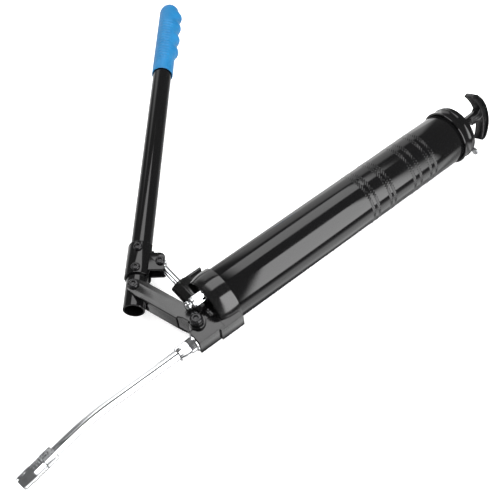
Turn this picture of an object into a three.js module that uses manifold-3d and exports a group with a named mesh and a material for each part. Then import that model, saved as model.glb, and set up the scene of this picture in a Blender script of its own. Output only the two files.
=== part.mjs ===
// Lever-type grease gun for 400 g cartridges, lying on its side.
// Working frame (mm): X runs along the barrel from the pump head to the pull handle, Y is the stroke of
// the plunger (the lever is on +Y), Z is up, square to the plane in which the lever swings.
// X = Y = Z = 0 is where the plunger axis crosses the barrel axis. The last lines move the whole gun
// so that the origin is under the middle of its box, at the lowest point.
import * as THREE from 'three';
import Module from 'manifold-3d';
import { mergeVertices } from 'three/addons/utils/BufferGeometryUtils.js';

const wasm = await Module();
wasm.setup();

// ---------------------------------------------------------------- driving dimensions (mm)
const GAP = 0.3;                    // between pieces that touch or slide
const BARREL_R = 28.5;              // 57 mm barrel, for a 53.5 mm cartridge
const BARREL_WALL = 1.5;
const BARREL_START = 13;
const BARREL_END = 346;

const DOME_FRONT = 3.2;             // front lip of the pump head
const DOME_REAR = 25.8;             // rear rim of the pump head
const DOME_R = BARREL_R + 2.4;
const HEAD_CHAMBER_R = BARREL_R - 4.5;
const PLUNGER_R = 4;
const BOSS_R = 9.8;                 // pump cylinder boss
const BOSS_HALF = PLUNGER_R + 2.5;              // its top and bottom are flat
const BOSS_END = 39;
const BLOCK_LEFT = -28;             // outlet block
const BLOCK_BOTTOM = -34;
const BLOCK_TOP = -16.3;
const BLOCK_HALF = 9;
const KEEL_END = 22.8;              // flat pad under the head
const KEEL_BOTTOM = -36.2;
const KEEL_HALF = 8.4;
const WING_END = 26;                // flat pad on the lever side of the head
const WING_Y = 38.7;
const WING_HALF = 6;

const PLUNGER_AT = 70;              // plunger pin, along the plunger axis
const PLUNGER_LOW = 15;             // lower end of the plunger at rest
const EYE_R = 5.7;
const EYE_HALF = 4.7;

const LEVER_ANGLE = 50 * Math.PI / 180;   // lever axis from the barrel axis
const LEVER_OFFSET = 67.9;          // shortest way from the origin to the lever axis
const LEVER_R = 11;                 // 22 mm tube
const LEVER_WALL = 1.6;
const LEVER_LENGTH = 461;
const LINK_PIN_S = 21.5;            // link pin, along the lever from its lower end
const CLAMP_S = [37, 76];           // the clamp's two ends along the lever
const CLAMP_R = LEVER_R + 2.6;
const EAR_S = [43.5, 64.6];
const EAR_REACH = 27.3;
const EAR_Z = [5, 7.6];
const SCREW_S = [42.8, 67.8];
const GRIP_START = LEVER_LENGTH - 122;
const GRIP_R = LEVER_R + 2;
const GRIP_DOME = LEVER_LENGTH + 8.5;
const FINGER_RIDGES = [80.2, 57.2, 34, 13.5].map((back) => LEVER_LENGTH - back);
const RIDGE_REACH = GRIP_R + 4;

const LINK_PIVOT = [-15.8, -13.6];  // link to head
const LINK_HALF = 9.1;              // half width of the channel near the lever
const LINK_LEAN = 3.6;              // how far the web leans in from its top to its bottom
const LINK_TIP_R = 7;               // rounded end at the lever
const LINK_END_R = 6.7;             // rounded end at the head
const LINK_WEB = 17.6;              // the web starts here, along the link
const LINK_SLANT = 4.6;             // and ends this much further out at its bottom
const LUG_R = 8.6;
const LINK_Z = [LEVER_R + 0.4, LEVER_R + 3];          // a flange of the channel
const PIN_PLAY = 1.3;               // play of the link pin in the lever tube

const PORT_Y = -25;                 // outlet axis
const PIPE_R = 5.1;                 // 1/8 inch steel pipe
const NUT_AF = 2 * PIPE_R + 3.8;            // hexagon of the outlet adapter
const NUT_END = -48.5;
const PIPE_BORE = 3.2;
const PIPE_BEND_START = -125;
const PIPE_BEND_R = 250;
const PIPE_BEND = 9.2 * Math.PI / 180;
const COUPLER_U = 23.2;             // start of the coupler, past the end of the bend
const COUPLER_HEX = 12.4;
const COUPLER_LENGTH = 38.6;
const COUPLER_R = 7.3;

const CAP_R = BARREL_R + 2.3;
const CAP_LIP = 335.3;
const CAP_REAR = 352.2;
const ROD_R = 4;
const ROD_START = 30;
const HANDLE_HUB = 357;
const HANDLE_HUB_R = 5.1;
const HANDLE_TOP = 399.6;
const HANDLE_HALF = 27.8;           // half the span of the pull handle
const HANDLE_THICK = 12;
const HANDLE_TURN = 64.6 * Math.PI / 180;

const BLEED_Z = LINK_Z[1] + 6.5;    // air bleeder, beside the pump boss and above the link
const BLEED_AF = 11;

const FINE = 48;
const MEDIUM = 24;
const COARSE = 16;

// ---------------------------------------------------------------- solids from three.js geometry
function solid(geometry) {
  const g = geometry.index ? geometry.toNonIndexed() : geometry.clone();
  g.deleteAttribute('normal');
  g.deleteAttribute('uv');
  const m = mergeVertices(g, 1e-4);
  return new wasm.Manifold(new wasm.Mesh({
    numProp: 3,
    vertProperties: Float32Array.from(m.attributes.position.array),
    triVerts: Uint32Array.from(m.index.array),
  }));
}

function geometryOf(body) {
  const mesh = body.getMesh();
  const g = new THREE.BufferGeometry();
  g.setAttribute('position', new THREE.BufferAttribute(Float32Array.from(mesh.vertProperties), 3));
  g.setIndex(new THREE.BufferAttribute(Uint32Array.from(mesh.triVerts), 1));
  const flat = g.toNonIndexed();
  flat.computeVertexNormals();
  return flat;
}

const joined = (...bodies) => bodies.reduce((a, b) => a.add(b));
const without = (body, ...cuts) => cuts.reduce((a, b) => a.subtract(b), body);

// lays a shape made along Y onto the named axis
function alongAxis(geometry, axis) {
  if (axis === 'x') geometry.rotateZ(-Math.PI / 2);
  if (axis === 'z') geometry.rotateX(Math.PI / 2);
  return geometry;
}

function placed(geometry, axis, from, to, at) {
  alongAxis(geometry, axis);
  const mid = (from + to) / 2;
  const [p, q] = at;
  if (axis === 'x') geometry.translate(mid, p, q);
  if (axis === 'y') geometry.translate(p, mid, q);
  if (axis === 'z') geometry.translate(p, q, mid);
  return geometry;
}

// round bar along an axis; "at" is its place on the other two axes
function bar(axis, radius, from, to, at = [0, 0], sides = MEDIUM) {
  return solid(placed(new THREE.CylinderGeometry(radius, radius, to - from, sides), axis, from, to, at));
}

// hexagon bar, given across its flats
function hexBar(axis, flats, from, to, at = [0, 0], turn = 0) {
  const g = new THREE.CylinderGeometry(flats / Math.sqrt(3), flats / Math.sqrt(3), to - from, 6);
  g.rotateY(turn);
  return solid(placed(g, axis, from, to, at));
}

function block(x, y, z) {
  const g = new THREE.BoxGeometry(x[1] - x[0], y[1] - y[0], z[1] - z[0]);
  g.translate((x[0] + x[1]) / 2, (y[0] + y[1]) / 2, (z[0] + z[1]) / 2);
  return solid(g);
}

// body of revolution about an axis through "at"; the profile is a closed loop or
// starts and ends on the axis, given as [distance along the axis, radius]
function turned(axis, profile, at = [0, 0], sides = MEDIUM) {
  const points = profile.map(([h, r]) => new THREE.Vector2(r, h));
  const g = new THREE.LatheGeometry(points, sides);
  alongAxis(g, axis);
  const [p, q] = at;
  if (axis === 'x') g.translate(0, p, q);
  if (axis === 'y') g.translate(p, 0, q);
  if (axis === 'z') g.translate(p, q, 0);
  const body = solid(g);
  return body.volume() < 0 ? solid(flipped(g)) : body;
}

function flipped(geometry) {
  const g = geometry.index ? geometry.toNonIndexed() : geometry;
  const a = g.attributes.position.array;
  for (let i = 0; i < a.length; i += 9) {
    for (let k = 0; k < 3; k += 1) {
      [a[i + 3 + k], a[i + 6 + k]] = [a[i + 6 + k], a[i + 3 + k]];
    }
  }
  return g;
}

// ring with a square section
function ring(axis, inner, outer, from, to, at = [0, 0], sides = MEDIUM) {
  return without(bar(axis, outer, from, to, at, sides), bar(axis, inner, from - 1, to + 1, at, sides));
}

// flat plate from an outline in XY
function plate(shape, z0, z1, curve = 6) {
  const g = new THREE.ExtrudeGeometry(shape, { depth: z1 - z0, bevelEnabled: false, curveSegments: curve });
  g.translate(0, 0, z0);
  return solid(g);
}

// coil spring wound about X
class Helix extends THREE.Curve {
  constructor(radius, from, to, turns) {
    super();
    Object.assign(this, { radius, from, to, turns });
  }

  getPoint(t, target = new THREE.Vector3()) {
    const a = 2 * Math.PI * this.turns * t;
    const x = this.from + (this.to - this.from) * t;
    return target.set(x, this.radius * Math.cos(a), this.radius * Math.sin(a));
  }
}

function coil(wire, radius, from, to, turns, stepsPerTurn, at = [0, 0]) {
  const section = new THREE.Shape();
  section.absarc(0, 0, wire, 0, 2 * Math.PI, false);
  const path = new Helix(radius, from + wire, to - wire, turns);
  const g = new THREE.ExtrudeGeometry(section, {
    steps: Math.round(turns * stepsPerTurn),
    extrudePath: path,
    curveSegments: 3,
    bevelEnabled: false,
  });
  g.translate(0, at[0], at[1]);
  const body = solid(g);
  return body.volume() < 0 ? solid(flipped(g)) : body;
}

// ---------------------------------------------------------------- materials
const gloss = (color, roughness, metalness) => (
  new THREE.MeshStandardMaterial({ color, roughness, metalness })
);
const blackCoat = () => gloss(0x101011, 0.28, 0.1);
const blackPlastic = () => gloss(0x0c0c0d, 0.35, 0);
const blackOxide = () => gloss(0x141415, 0.32, 0.8);
const blueVinyl = () => gloss(0x1177c4, 0.5, 0);
const chrome = () => gloss(0xd5d7d9, 0.12, 1);
const zinc = () => gloss(0xb9bcbd, 0.3, 1);
const steel = () => gloss(0x8b8e90, 0.35, 1);
const rubber = () => gloss(0x1b1b1b, 0.8, 0);

const working = new THREE.Group();

function piece(name, body, material, parent = working) {
  const mesh = new THREE.Mesh(geometryOf(body), material);
  mesh.name = name;
  parent.add(mesh);
  return mesh;
}

// ---------------------------------------------------------------- pump head
function headCasting() {
  const dome = turned('x', [
    [DOME_FRONT + 3.4, 0],
    [DOME_FRONT + 3.4, DOME_R - 4.7],
    [DOME_FRONT, DOME_R - 4.3],
    [DOME_FRONT, DOME_R - 3.1],
    [DOME_FRONT + 0.8, DOME_R - 2.4],
    [DOME_FRONT + 3.2, DOME_R - 2],
    [DOME_FRONT + 6.5, DOME_R - 1],
    [DOME_FRONT + 11, DOME_R - 0.2],
    [DOME_FRONT + 16, DOME_R],
    [DOME_REAR - 0.6, DOME_R],
    [DOME_REAR, DOME_R - 0.5],
    [DOME_REAR, 0],
  ], [0, 0], FINE);
  const boss = turned('y', [
    [-30, 0],
    [-30, BOSS_R],
    [BOSS_END - 1, BOSS_R],
    [BOSS_END, BOSS_R - 1],
    [BOSS_END, 0],
  ]).intersect(block([-20, 20], [-40, 50], [-BOSS_HALF, BOSS_HALF]));
  const web = block([0, 12], [KEEL_BOTTOM + 3, WING_Y - 1], [-7.2, 7.2]);
  const wing = block([-2, WING_END], [WING_Y - 2.6, WING_Y], [-WING_HALF, WING_HALF]);
  const wingRoot = block([4, WING_END - 1.4], [20, WING_Y - 1], [1 - WING_HALF, WING_HALF - 1]);
  const keel = block([-4, KEEL_END], [KEEL_BOTTOM, -18], [-KEEL_HALF, KEEL_HALF]);
  const outlet = block([BLOCK_LEFT, 2], [BLOCK_BOTTOM, BLOCK_TOP], [-BLOCK_HALF, BLOCK_HALF]);
  const [ax, ay] = LINK_PIVOT;
  const lugHalf = LINK_Z[0] - GAP;
  const lug = without(
    joined(
      bar('z', LUG_R, -lugHalf, lugHalf, LINK_PIVOT),
      block([ax, -7.5], [BLOCK_TOP, ay + LUG_R], [-lugHalf, lugHalf]),
      block([-8, -1], [BLOCK_TOP, ay + LUG_R], [2 - BLOCK_HALF, BLOCK_HALF - 2]),
    ),
    block([-40, 10], [-40, BLOCK_TOP], [-20, 20]),
  );
  const bleedSeat = bar('x', 7.4, 4, 9, [0, BLEED_Z], COARSE);
  const body = joined(dome, boss, web, wing, wingRoot, keel, outlet, lug, bleedSeat);
  return without(
    body,
    bar('x', BARREL_R + 0.35, BARREL_START - 1.7, DOME_REAR + 20, [0, 0], FINE),
    bar('x', HEAD_CHAMBER_R, DOME_FRONT + 6.5, BARREL_START, [0, 0], FINE),
    bar('y', PLUNGER_R + GAP, PORT_Y, BOSS_END + 5, [0, 0], COARSE),
    bar('y', PLUNGER_R + 1.7, BOSS_END - 4.4, BOSS_END + 5, [0, 0], COARSE),
    bar('x', 3.6, 0, 14, [5, 0], COARSE),
    bar('x', 2.2, -10, 0.5, [PORT_Y, 0], COARSE),
    bar('x', 4.4, -20, -7.5, [PORT_Y, 0], COARSE),
    bar('x', 6.6, BLOCK_LEFT - 5, -18.5, [PORT_Y, 0], COARSE),
    bar('z', 4 + GAP, -30, 30, LINK_PIVOT, COARSE),
    bar('x', 3.3, 0, 14, [0, BLEED_Z], COARSE),
    bar('x', BLEED_AF / Math.sqrt(3) + 0.1, -12, 3.95, [0, BLEED_Z], COARSE),
  );
}

piece('head_casting', headCasting(), blackCoat());
piece('head_gasket', ring('x', HEAD_CHAMBER_R + GAP, BARREL_R - 0.2, BARREL_START - 1.5,
  BARREL_START - GAP, [0, 0], FINE), rubber());
const SEAL_SPAN = [BOSS_END - 4.1, BOSS_END - 0.3];
const plungerSeal = ring('y', PLUNGER_R + GAP, PLUNGER_R + 1.4, ...SEAL_SPAN, [0, 0], COARSE);
piece('plunger_seal', plungerSeal, rubber());

// outlet check valve inside the block
const BALL_R = 3.5;
const BALL_X = -10.9;
piece('check_ball', solid(new THREE.SphereGeometry(BALL_R, 12, 8).translate(BALL_X, PORT_Y, 0)), steel());
piece('check_spring', coil(0.4, 2.6, -18.8, BALL_X - BALL_R - GAP, 4, 8, [PORT_Y, 0]), steel());

// air bleeder: hexagon body screwed into the head and a round vent button on its end
function bleederBody() {
  const stub = bar('x', 3, 4.5, BARREL_START - 1.5 - GAP, [0, BLEED_Z], COARSE);
  const hex = hexBar('x', BLEED_AF, -8.6, 3.9, [0, BLEED_Z], Math.PI / 6);
  const shoulder = bar('x', 5.6, -10.2, -8.4, [0, BLEED_Z], COARSE);
  const bore = bar('x', 2.3, -12, -2, [0, BLEED_Z], COARSE);
  const vent = bar('x', 1.2, -3, 14, [0, BLEED_Z], COARSE);
  return without(joined(stub, bar('x', 3, 3.8, 5, [0, BLEED_Z], COARSE), hex, shoulder), bore, vent);
}

function bleederValve() {
  return turned('x', [
    [-17.8, 0],
    [-17.5, 2.4],
    [-16.2, 4.2],
    [-14.2, 4.8],
    [-12.6, 4.4],
    [-11.8, 3.2],
    [-11.8, 2],
    [-3.9, 2],
    [-3.9, 0],
  ], [0, BLEED_Z], COARSE);
}

piece('bleeder_body', bleederBody(), chrome());
piece('bleeder_valve', bleederValve(), chrome());

// ---------------------------------------------------------------- barrel, end cap and follower
piece('barrel_tube', ring('x', BARREL_R - BARREL_WALL, BARREL_R, BARREL_START, BARREL_END, [0, 0], FINE),
  blackCoat());

function endCap() {
  return turned('x', [
    [CAP_LIP, BARREL_R + 0.35],
    [CAP_LIP, CAP_R - 0.5],
    [CAP_LIP + 0.6, CAP_R],
    [CAP_LIP + 2.4, CAP_R],
    [CAP_LIP + 3, CAP_R - 0.8],
    [CAP_LIP + 10.6, CAP_R - 1.1],
    [CAP_LIP + 11.2, CAP_R - 0.6],
    [CAP_LIP + 12.8, CAP_R - 0.6],
    [CAP_LIP + 13.4, CAP_R - 1.2],
    [CAP_REAR - 1.2, CAP_R - 1.3],
    [CAP_REAR, CAP_R - 2.5],
    [CAP_REAR, CAP_R - 10.8],
    [CAP_REAR - 0.5, CAP_R - 11.6],
    [CAP_REAR - 0.5, ROD_R + 0.6],
    [CAP_REAR - 2, ROD_R + 0.6],
    [CAP_REAR - 2, BARREL_R - BARREL_WALL],
    [BARREL_END + GAP, BARREL_R - BARREL_WALL],
    [BARREL_END + GAP, BARREL_R + 0.35],
    [CAP_LIP, BARREL_R + 0.35],
  ], [0, 0], FINE);
}

piece('end_cap', endCap(), blackCoat());

// the follower pushes the grease forward; its rod is held by the rod lock on the cap
const FOLLOWER_X = 34;
const FOLLOWER_R = BARREL_R - BARREL_WALL - 0.5;
piece('follower_seal', turned('x', [
  [FOLLOWER_X, ROD_R + GAP],
  [FOLLOWER_X, FOLLOWER_R - 6.5],
  [FOLLOWER_X - 4, FOLLOWER_R - 1.4],
  [FOLLOWER_X - 4, FOLLOWER_R],
  [FOLLOWER_X + 8, FOLLOWER_R],
  [FOLLOWER_X + 8, FOLLOWER_R - 2],
  [FOLLOWER_X + 2.4, FOLLOWER_R - 3.4],
  [FOLLOWER_X + 2.4, ROD_R + GAP],
  [FOLLOWER_X, ROD_R + GAP],
], [0, 0], MEDIUM), rubber());
const PLATE_SPAN = [FOLLOWER_X + 2.7, FOLLOWER_X + 4.5];
const followerPlate = ring('x', ROD_R + GAP, FOLLOWER_R - 3.9, ...PLATE_SPAN, [0, 0], MEDIUM);
piece('follower_plate', followerPlate, steel());
piece('follower_nut', without(hexBar('x', 13, FOLLOWER_X - 5, FOLLOWER_X - GAP),
  bar('x', ROD_R + GAP, 0, 60, [0, 0], COARSE)), steel());
piece('follower_spring', coil(1.4, FOLLOWER_R - 7.5, FOLLOWER_X + 4.8, CAP_REAR - 2 - GAP, 11, 9), steel());

// rod and pull handle
const rodGroup = new THREE.Group();
rodGroup.rotation.x = HANDLE_TURN;
working.add(rodGroup);
piece('follower_rod', bar('x', ROD_R, ROD_START - 2, 388, [0, 0], COARSE), steel(), rodGroup);

function pullHandle() {
  const outline = new THREE.Shape();
  const tip = HANDLE_HALF;
  outline.moveTo(380.5, -tip + 1.5);
  outline.quadraticCurveTo(389.5, -13, 388.3, 0);
  outline.quadraticCurveTo(389.5, 13, 380.5, tip - 1.5);
  outline.quadraticCurveTo(383.5, tip + 0.8, 388.5, tip);
  outline.quadraticCurveTo(HANDLE_TOP - 0.6, 14, HANDLE_TOP, 0);
  outline.quadraticCurveTo(HANDLE_TOP - 0.6, -14, 388.5, -tip);
  outline.quadraticCurveTo(383.5, -tip - 0.8, 380.5, -tip + 1.5);
  const bow = plate(outline, -HANDLE_THICK / 2, HANDLE_THICK / 2, 7);
  const hub = turned('x', [
    [HANDLE_HUB, 0],
    [HANDLE_HUB, HANDLE_HUB_R],
    [382, HANDLE_HUB_R + 0.3],
    [388, HANDLE_HUB_R + 1.6],
    [392, HANDLE_HUB_R + 0.6],
    [392, 0],
  ]);
  return without(joined(bow, hub), bar('x', ROD_R + GAP, HANDLE_HUB - 5, 388.5, [0, 0], COARSE));
}

piece('t_handle', pullHandle(), blackPlastic(), rodGroup);

// rod lock: a sprung plate across the back of the cap, its tab sticks out past the rim
const LOCK_TURN = 199 * Math.PI / 180;
const LOCK_REACH = CAP_R + 4.6;     // end of the tab, from the rod
const lockGroup = new THREE.Group();
lockGroup.rotation.x = LOCK_TURN;
working.add(lockGroup);

function rodLock() {
  const [x0, x1] = [CAP_REAR + GAP, CAP_REAR + 2.1];
  const strip = block([x0, x1], [-13, LOCK_REACH - 5.4], [-6, 6]);
  const tab = bar('x', 3.6, x0, x1, [LOCK_REACH - 3.6, 0], COARSE);
  const neck = block([x0, x1], [LOCK_REACH - 8.4, LOCK_REACH - 3.4], [-2.4, 2.4]);
  const taper = joined(
    block([x0 - 5, x1 + 5], [LOCK_REACH - 14.4, LOCK_REACH + 15], [2.4, 20]),
    block([x0 - 5, x1 + 5], [LOCK_REACH - 14.4, LOCK_REACH + 15], [-20, -2.4]),
  );
  const hole = bar('x', ROD_R + 0.7, CAP_REAR - 3, CAP_REAR + 6, [0, 0], COARSE);
  return joined(without(strip, hole, taper), neck, tab);
}

piece('rod_lock', rodLock(), zinc(), lockGroup);

// ---------------------------------------------------------------- plunger
function plungerRod() {
  const [cx, cy] = plungerPin;
  const shaft = bar('y', PLUNGER_R, PLUNGER_LOW, cy - 3, [0, 0], MEDIUM);
  const eye = bar('z', EYE_R, -EYE_HALF, EYE_HALF, [cx, cy]);
  return without(joined(shaft, eye), bar('z', 3 + GAP, -10, 10, [cx, cy], COARSE));
}

// the plunger pin lies on the plunger axis, at the lever's ears
const leverDirection = new THREE.Vector2(Math.cos(LEVER_ANGLE), Math.sin(LEVER_ANGLE));
const leverNormal = new THREE.Vector2(-Math.sin(LEVER_ANGLE), Math.cos(LEVER_ANGLE));
const leverFoot = leverNormal.clone().multiplyScalar(LEVER_OFFSET);
const plungerPin = [0, PLUNGER_AT];
const onLever = (x, y) => {
  const d = new THREE.Vector2(x, y).sub(leverFoot);
  return [d.dot(leverDirection), d.dot(leverNormal)];
};
const EAR_PIN = onLever(...plungerPin);
piece('plunger_rod', plungerRod(), chrome());

// ---------------------------------------------------------------- lever
const lever = new THREE.Group();
lever.position.set(leverFoot.x, leverFoot.y, 0);
lever.rotation.z = LEVER_ANGLE;
working.add(lever);

// button head screw with a hexagon socket; the head sits on z, the shank reaches down to low
function buttonScrew(at, shank, head, z, height, low, socket) {
  const [x, y] = at;
  const top = turned('z', [
    [-z, 0],
    [-z, head],
    [-z - height * 0.35, head * 0.97],
    [-z - height * 0.75, head * 0.78],
    [-z - height, head * 0.5],
    [-z - height, 0],
  ].map(([h, r]) => [-h, r]), [x, y], COARSE);
  const pin = bar('z', shank, low, z + 0.2, at, COARSE);
  return without(joined(top, pin), hexBar('z', socket, z + height * 0.4, z + height + 1, at));
}

function hexNut(at, flats, bore, z0, z1) {
  return without(hexBar('z', flats, z0, z1, at), bar('z', bore, z0 - 1, z1 + 1, at, COARSE));
}

function leverTube() {
  return without(
    ring('x', LEVER_R - LEVER_WALL, LEVER_R, 0, LEVER_LENGTH, [0, 0]),
    bar('z', 3.5 + PIN_PLAY + GAP, -20, 20, [LINK_PIN_S, 0], COARSE),
    ...SCREW_S.map((s) => bar('z', 2.3, 0, 20, [s, 0], COARSE)),
  );
}

// sheet clamp wrapped round the tube, its two ends lie side by side as the ears for the plunger
function leverClamp() {
  const [s0, s1] = CLAMP_S;
  const sleeve = bar('x', CLAMP_R, s0, s1, [0, 0], 32);
  const ear = new THREE.Shape();
  const [a, b] = EAR_S;
  ear.moveTo(a, 0);
  ear.lineTo(a, 2.5 - EAR_REACH);
  ear.quadraticCurveTo(a, -EAR_REACH, a + 2.5, -EAR_REACH);
  ear.lineTo(b - 6, -EAR_REACH);
  ear.quadraticCurveTo(b, -EAR_REACH, b, 6 - EAR_REACH);
  ear.lineTo(b, 0);
  const pair = joined(plate(ear, EAR_Z[0], EAR_Z[1]), plate(ear, -EAR_Z[1], -EAR_Z[0]));
  return without(
    joined(sleeve, pair),
    bar('x', LEVER_R + GAP, s0 - 1, s1 + 1, [0, 0], 32),
    block([s0 - 1, s1 + 1], [-30, -5], [-EAR_Z[0], EAR_Z[0]]),
    bar('z', 3 + GAP, -20, 20, EAR_PIN, COARSE),
    ...SCREW_S.map((s) => bar('z', 2.3, 0, 20, [s, 0], COARSE)),
  );
}

function leverGrip() {
  const skin = turned('x', [
    [GRIP_START, 0],
    [GRIP_START, GRIP_R - 0.8],
    [GRIP_START + 1, GRIP_R],
    [GRIP_START + 55, GRIP_R - 0.3],
    [GRIP_DOME - 11, GRIP_R],
    [GRIP_DOME - 6, GRIP_R - 1.4],
    [GRIP_DOME - 2.5, GRIP_R - 4.6],
    [GRIP_DOME - 0.6, GRIP_R - 8.6],
    [GRIP_DOME, 0],
  ]);
  const keelAxis = [7.5 + 2.8 - RIDGE_REACH, 0];
  const keelBar = bar('x', 7.5, FINGER_RIDGES[0] - 12, FINGER_RIDGES[3] + 4, keelAxis, COARSE);
  const ridges = FINGER_RIDGES.map((s) => {
    const g = new THREE.SphereGeometry(1, 12, 8);
    g.scale(10, 9, 8.5);
    return solid(g.translate(s, 9 - RIDGE_REACH, 0));
  });
  return without(
    joined(skin, keelBar, ...ridges),
    bar('x', LEVER_R + GAP, GRIP_START - 2, LEVER_LENGTH + GAP),
  );
}

piece('lever_tube', leverTube(), blackCoat(), lever);
piece('lever_clamp', leverClamp(), blackCoat(), lever);
const clampScrew = (s) => buttonScrew([s, 0], 2, 4.6, CLAMP_R + 0.1, 2.6, LEVER_R - 3.5, 3);
piece('clamp_screw_lower', clampScrew(SCREW_S[0]), blackOxide(), lever);
piece('clamp_screw_upper', clampScrew(SCREW_S[1]), blackOxide(), lever);
piece('lever_grip', leverGrip(), blueVinyl(), lever);
const earPin = buttonScrew(EAR_PIN, 3, 4.9, EAR_Z[1] + GAP, 2.8, -EAR_Z[1] - 3.4, 4);
const earNut = hexNut(EAR_PIN, 10, 3 + GAP, -EAR_Z[1] - 4.3, -EAR_Z[1] - GAP);
piece('plunger_pin', earPin, blackOxide(), lever);
piece('plunger_pin_nut', earNut, blackOxide(), lever);

// ---------------------------------------------------------------- link
const leverPinPoint = leverDirection.clone().multiplyScalar(LINK_PIN_S).add(leverFoot);
const linkVector = leverPinPoint.clone().sub(new THREE.Vector2(...LINK_PIVOT));
const LINK_LENGTH = linkVector.length();
const link = new THREE.Group();
link.position.set(LINK_PIVOT[0], LINK_PIVOT[1], 0);
link.rotation.z = linkVector.angle();
working.add(link);

// pressed channel: two flanges over the tube and the lug, and a web that stops short of both pins
function linkChannel() {
  const flange = new THREE.Shape();
  const neck = LINK_END_R * Math.SQRT1_2;
  flange.moveTo(0, -LINK_END_R);
  flange.lineTo(16, -LINK_HALF);
  flange.lineTo(LINK_LENGTH - 10, -LINK_HALF);
  flange.absarc(LINK_LENGTH, 0, LINK_TIP_R, -Math.PI / 2.3, Math.PI / 2.3, false);
  flange.lineTo(LINK_LENGTH - 9, LINK_HALF);
  flange.lineTo(LINK_WEB, LINK_HALF);
  flange.lineTo(LINK_WEB, LINK_HALF - 2.6);
  flange.lineTo(LINK_WEB - 4.3, neck + 0.3);
  flange.lineTo(neck, neck);
  flange.absarc(0, 0, LINK_END_R, Math.PI / 4, 3 * Math.PI / 2, false);
  const upper = plate(flange, LINK_Z[0], LINK_Z[1]);
  const lower = without(
    plate(flange, -LINK_Z[1], -LINK_Z[0]),
    block([10, LINK_LENGTH - 9], [LINK_HALF - LINK_LEAN, 20], [-20, 0]),
  );
  const web = new THREE.Shape();
  const outer = LINK_HALF;
  web.moveTo(outer - 2.4, LINK_Z[1]);
  web.lineTo(outer, LINK_Z[1]);
  web.lineTo(outer - LINK_LEAN, -LINK_Z[1]);
  web.lineTo(outer - LINK_LEAN - 2.4, -LINK_Z[1]);
  const back = new THREE.ExtrudeGeometry(web, { depth: LINK_LENGTH - 14 - LINK_WEB, bevelEnabled: false });
  back.rotateX(Math.PI / 2);
  back.rotateZ(Math.PI / 2);
  back.translate(LINK_WEB, 0, 0);
  const tubeSweep = [4, 0, -8, -16, -25, -33].map((turn) => {
    const angle = LEVER_ANGLE - linkVector.angle() + turn * Math.PI / 180 + Math.PI;
    const g = new THREE.CylinderGeometry(LEVER_R + 1.6, LEVER_R + 1.6, 34, MEDIUM);
    g.rotateZ(angle - Math.PI / 2);
    g.translate(LINK_LENGTH + 14 * Math.cos(angle), 14 * Math.sin(angle), 0);
    return solid(g);
  });
  const slant = new THREE.Shape();
  slant.moveTo(LINK_WEB - 4, LINK_Z[0]);
  slant.lineTo(LINK_WEB, LINK_Z[0]);
  slant.lineTo(LINK_WEB + LINK_SLANT, -LINK_Z[1] - 1);
  slant.lineTo(LINK_WEB - 4, -LINK_Z[1] - 1);
  const wedge = new THREE.ExtrudeGeometry(slant, { depth: 20, bevelEnabled: false });
  wedge.rotateX(Math.PI / 2);
  wedge.translate(0, 20, 0);
  return without(
    joined(upper, without(solid(back), solid(wedge), ...tubeSweep), lower),
    bar('z', 3.5 + GAP, -20, 20, [LINK_LENGTH, 0], COARSE),
    bar('z', 4 + GAP, -20, 20, [0, 0], COARSE),
  );
}

piece('link_channel', linkChannel(), blackCoat(), link);
piece('link_lever_pin', buttonScrew([LINK_LENGTH, 0], 3.5, 5.7, LINK_Z[1] + GAP, 3, -LINK_Z[1] - 4.4, 4.5),
  blackOxide(), link);
piece('link_lever_nut', hexNut([LINK_LENGTH, 0], 11, 3.5 + GAP, -LINK_Z[1] - 5.2, -LINK_Z[1] - GAP),
  blackOxide(), link);
piece('link_head_bolt', buttonScrew(LINK_PIVOT, 4, 6.4, LINK_Z[1] + GAP, 3.6, -LINK_Z[1] - 5.2, 5),
  blackOxide());
piece('link_head_nut', hexNut(LINK_PIVOT, 13, 4 + GAP, -LINK_Z[1] - 6.2, -LINK_Z[1] - GAP), blackOxide());

// ---------------------------------------------------------------- outlet, delivery pipe and coupler
function outletAdapter() {
  const collar = turned('x', [
    [BLOCK_LEFT - GAP, 0],
    [BLOCK_LEFT - GAP, PIPE_R + 3.7],
    [BLOCK_LEFT - 1.4, PIPE_R + 3.7],
    [BLOCK_LEFT - 2.4, PIPE_R + 2.3],
    [-38, PIPE_R + 2.3],
    [-38, 0],
  ], [PORT_Y, 0]);
  const hex = hexBar('x', NUT_AF, NUT_END, -36, [PORT_Y, 0], Math.PI / 6);
  const stub = bar('x', 6.2, BLOCK_LEFT - 1, -19.2, [PORT_Y, 0], COARSE);
  return without(
    joined(collar, hex, stub),
    bar('x', PIPE_R + GAP, NUT_END - 5, -38, [PORT_Y, 0], COARSE),
    bar('x', PIPE_BORE, -45, -10, [PORT_Y, 0], COARSE),
  );
}

// straight, a shallow bend, straight again; the tangent is continuous
class PipePath extends THREE.Curve {
  getPoint(t, target = new THREE.Vector3()) {
    const steps = 14;
    const k = t * steps;
    const last = COUPLER_U + 9;
    if (k <= 1) {
      return target.set(-38.4 + (PIPE_BEND_START + 38.4) * k, PORT_Y, 0);
    }
    const turn = PIPE_BEND * Math.min((k - 1) / (steps - 2), 1);
    const x = PIPE_BEND_START - PIPE_BEND_R * Math.sin(turn);
    const y = PORT_Y - PIPE_BEND_R * (1 - Math.cos(turn));
    const rest = Math.max(k - (steps - 1), 0) * last;
    return target.set(x - rest * Math.cos(PIPE_BEND), y - rest * Math.sin(PIPE_BEND), 0);
  }

  getPointAt(u, target) {
    return this.getPoint(u, target);
  }

  getTangentAt(u, target) {
    return this.getTangent(u, target);
  }
}

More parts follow.
